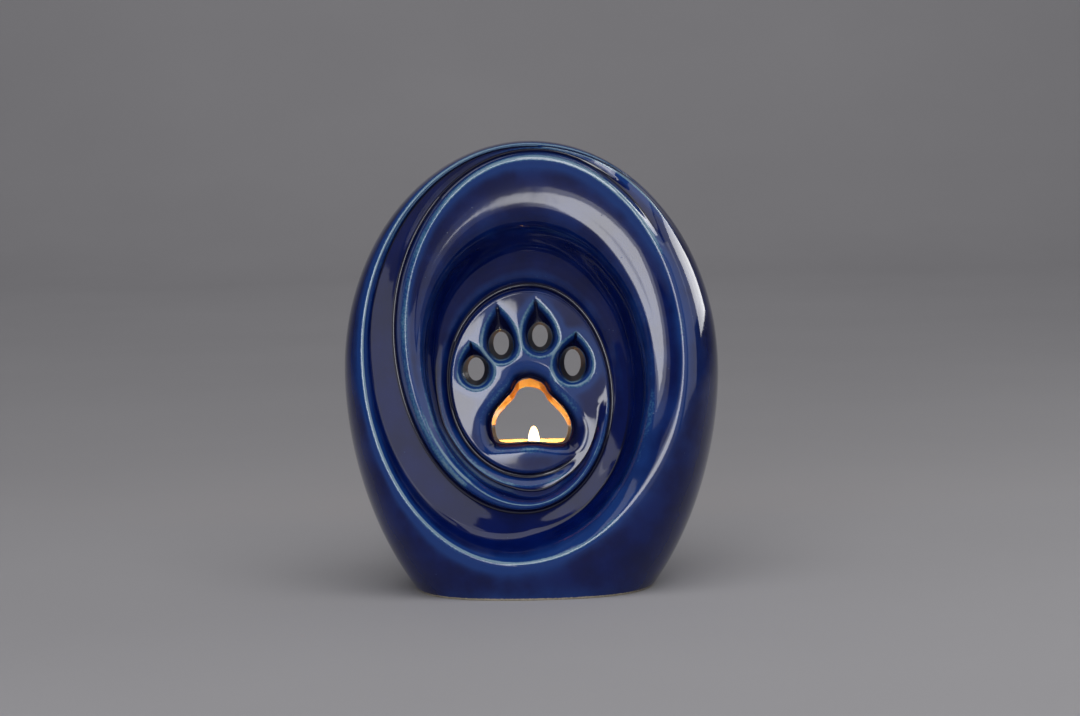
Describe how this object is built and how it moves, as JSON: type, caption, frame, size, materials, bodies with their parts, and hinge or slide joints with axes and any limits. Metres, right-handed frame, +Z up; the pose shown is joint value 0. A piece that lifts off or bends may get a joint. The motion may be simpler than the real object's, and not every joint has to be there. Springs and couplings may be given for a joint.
{
  "type": "ceramic urn",
  "caption": "Egg-shaped glazed ceramic urn with a spiral bowl in front, a paw cut through its centre plate, a candle niche behind it and an ash chamber that fills from the base.",
  "frame": {"origin": "centre of the base, on the surface that the urn stands on", "axes": "+Z up, +X to the right seen from in front, front faces -Y"},
  "size_m": [0.1924, 0.0957, 0.23],
  "materials": {
    "glaze": "glossy cobalt glaze, paler on its ridges",
    "cup": "thin bright foil",
    "wax": "ivory wax",
    "wick": "charred cotton"
  },
  "bodies": {
    "root": {"urn_body": "glaze", "tealight_cup": "cup", "tealight_wax": "wax", "tealight_wick": "wick"}
  },
  "joints": []
}
